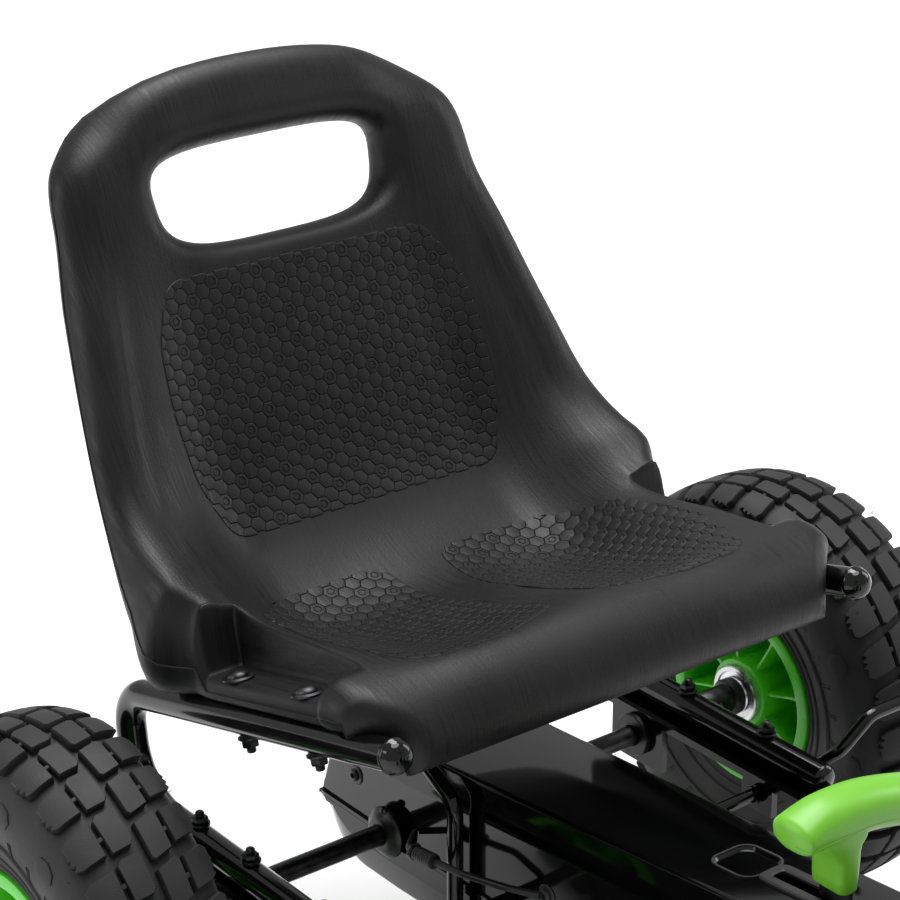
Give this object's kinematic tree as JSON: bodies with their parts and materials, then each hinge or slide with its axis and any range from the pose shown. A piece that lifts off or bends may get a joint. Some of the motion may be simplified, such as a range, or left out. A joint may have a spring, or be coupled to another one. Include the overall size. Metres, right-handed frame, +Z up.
{
  "type": "pedal go kart",
  "caption": "Ride-on pedal go kart: moulded bucket seat on a bent tube frame, spoked wheels, enclosed chain drive, steered front axle and a hand brake.",
  "frame": {"origin": "middle of the footprint box, on the ground", "axes": "+X forward, +Y to the rider's left, +Z up"},
  "size_m": [1.2099, 0.582, 0.6056],
  "materials": {
    "seat_plastic": "satin moulded",
    "tyre": "matte rubber",
    "green_plastic": "semi-gloss moulded",
    "gloss_plastic": "gloss",
    "black_plastic": "satin",
    "black_paint": "gloss powder coat",
    "dark_steel": "blackened",
    "bright_steel": "zinc plated"
  },
  "bodies": {
    "frame": {"seat_shell": "seat_plastic", "seat_tube_left": "black_paint", "seat_tube_right": "black_paint", "tube_plug_left": "black_plastic", "tube_plug_right": "black_plastic", "seat_bolt_left_1": "dark_steel", "seat_bolt_left_2": "dark_steel", "seat_bolt_right_1": "dark_steel", "seat_bolt_right_2": "dark_steel", "clamp_bolt_left_1": "dark_steel", "clamp_bolt_left_2": "dark_steel", "clamp_bolt_left_3": "dark_steel", "clamp_bolt_right_1": "dark_steel", "clamp_bolt_right_2": "dark_steel", "clamp_bolt_right_3": "dark_steel", "side_rail_left": "black_paint", "side_rail_right": "black_paint", "axle_bush_left": "dark_steel", "axle_bush_right": "dark_steel", "cross_tube": "black_paint", "backbone": "black_paint", "case_stay": "black_paint", "drive_cable": "black_plastic", "chain_case_upper": "gloss_plastic", "chain_case_lower": "gloss_plastic", "crank_bracket": "black_paint", "chain": "dark_steel", "front_beam": "black_paint", "front_bumper": "black_paint", "steering_mast": "black_paint", "front_fairing": "gloss_plastic", "lever_bracket": "black_paint"},
    "rear_axle": {"rear_axle": "dark_steel", "axle_collar": "bright_steel", "rear_sprocket": "dark_steel", "rear_right_rim": "green_plastic", "rear_right_tyre": "tyre", "rear_right_bearing": "bright_steel"},
    "rear_left_wheel": {"rear_left_rim": "green_plastic", "rear_left_tyre": "tyre", "rear_left_bearing": "bright_steel"},
    "crank": {"crank": "dark_steel", "crank_sprocket": "dark_steel"},
    "left_pedal": {"left_pedal": "black_plastic"},
    "right_pedal": {"right_pedal": "black_plastic"},
    "steering": {"steering_column": "black_paint", "steering_wheel": "black_plastic", "wheel_pad": "green_plastic"},
    "tie_rod_left": {"tie_rod_left": "dark_steel"},
    "knuckle_left": {"knuckle_left": "dark_steel"},
    "front_left_wheel": {"front_left_rim": "green_plastic", "front_left_tyre": "tyre"},
    "tie_rod_right": {"tie_rod_right": "dark_steel"},
    "knuckle_right": {"knuckle_right": "dark_steel"},
    "front_right_wheel": {"front_right_rim": "green_plastic", "front_right_tyre": "tyre"},
    "hand_lever": {"lever_bar": "dark_steel", "lever_grip": "green_plastic"},
    "brake_bar": {"brake_bar": "black_paint"},
    "brake_link": {"brake_link": "dark_steel"}
  },
  "joints": [
    {"name": "rear_axle_spin", "type": "hinge", "parent": "frame", "child": "rear_axle", "pos_m": [-0.4054, 0, 0.13], "axis": [0, 1, 0], "continuous": true},
    {"name": "rear_left_wheel_spin", "type": "hinge", "parent": "frame", "child": "rear_left_wheel", "pos_m": [-0.4054, 0.252, 0.13], "axis": [0, 1, 0], "continuous": true},
    {"name": "crank_spin", "type": "hinge", "parent": "frame", "child": "crank", "pos_m": [0.1946, 0, 0.178], "axis": [0, 1, 0], "continuous": true},
    {"name": "left_pedal_spin", "type": "hinge", "parent": "crank", "child": "left_pedal", "pos_m": [0.09593, 0.098, 0.14209], "axis": [0, 1, 0], "continuous": true},
    {"name": "right_pedal_spin", "type": "hinge", "parent": "crank", "child": "right_pedal", "pos_m": [0.29327, -0.098, 0.21391], "axis": [0, 1, 0], "continuous": true},
    {"name": "steering_turn", "type": "hinge", "parent": "frame", "child": "steering", "pos_m": [0.4306, 0, 0.133], "axis": [-0.5931, 0, 0.8052], "range_deg": [-25, 25]},
    {"name": "tie_rod_left_pivot", "type": "hinge", "parent": "steering", "child": "tie_rod_left", "pos_m": [0.3917, 0, 0.10994], "axis": [-0.5931, 0, 0.8052], "range_deg": [-25.5, 25.5]},
    {"name": "kingpin_left", "type": "hinge", "parent": "frame", "child": "knuckle_left", "pos_m": [0.4546, 0.19, 0.12], "axis": [0, 0, 1], "range_deg": [-20.5, 20.5]},
    {"name": "front_left_wheel_spin", "type": "hinge", "parent": "knuckle_left", "child": "front_left_wheel", "pos_m": [0.4546, 0.252, 0.13], "axis": [0, 1, 0], "continuous": true},
    {"name": "tie_rod_right_pivot", "type": "hinge", "parent": "steering", "child": "tie_rod_right", "pos_m": [0.38784, 0, 0.11517], "axis": [-0.5931, 0, 0.8052], "range_deg": [-25.5, 25.5]},
    {"name": "kingpin_right", "type": "hinge", "parent": "frame", "child": "knuckle_right", "pos_m": [0.4546, -0.19, 0.12], "axis": [0, 0, 1], "range_deg": [-20.5, 20.5]},
    {"name": "front_right_wheel_spin", "type": "hinge", "parent": "knuckle_right", "child": "front_right_wheel", "pos_m": [0.4546, -0.252, 0.13], "axis": [0, 1, 0], "continuous": true},
    {"name": "hand_lever_pull", "type": "hinge", "parent": "frame", "child": "hand_lever", "pos_m": [-0.1104, 0, 0.15], "axis": [0, 1, 0], "range_deg": [-18, 0], "stiffness_Nm_per_rad": 1.2, "springref_deg": 17.19},
    {"name": "brake_link_pivot", "type": "hinge", "parent": "hand_lever", "child": "brake_link", "pos_m": [-0.1104, 0.006, 0.142], "axis": [0, 1, 0], "range_deg": [-0.1, 18.5]},
    {"name": "brake_bar_press", "type": "hinge", "parent": "frame", "child": "brake_bar", "pos_m": [-0.3034, 0, 0.135], "axis": [0, 1, 0], "range_deg": [-4.7, 0.1]}
  ],
  "couplings": [
    {"joint": "crank_spin", "follows": "rear_axle_spin", "ratio": 0.61538},
    {"joint": "brake_link_pivot", "follows": "hand_lever_pull", "ratio": -1},
    {"joint": "brake_bar_press", "follows": "hand_lever_pull", "ratio": 0.254},
    {"joint": "kingpin_left", "follows": "steering_turn", "ratio": 0.808},
    {"joint": "tie_rod_left_pivot", "follows": "steering_turn", "ratio": -1},
    {"joint": "kingpin_right", "follows": "steering_turn", "ratio": 0.808},
    {"joint": "tie_rod_right_pivot", "follows": "steering_turn", "ratio": -1}
  ]
}
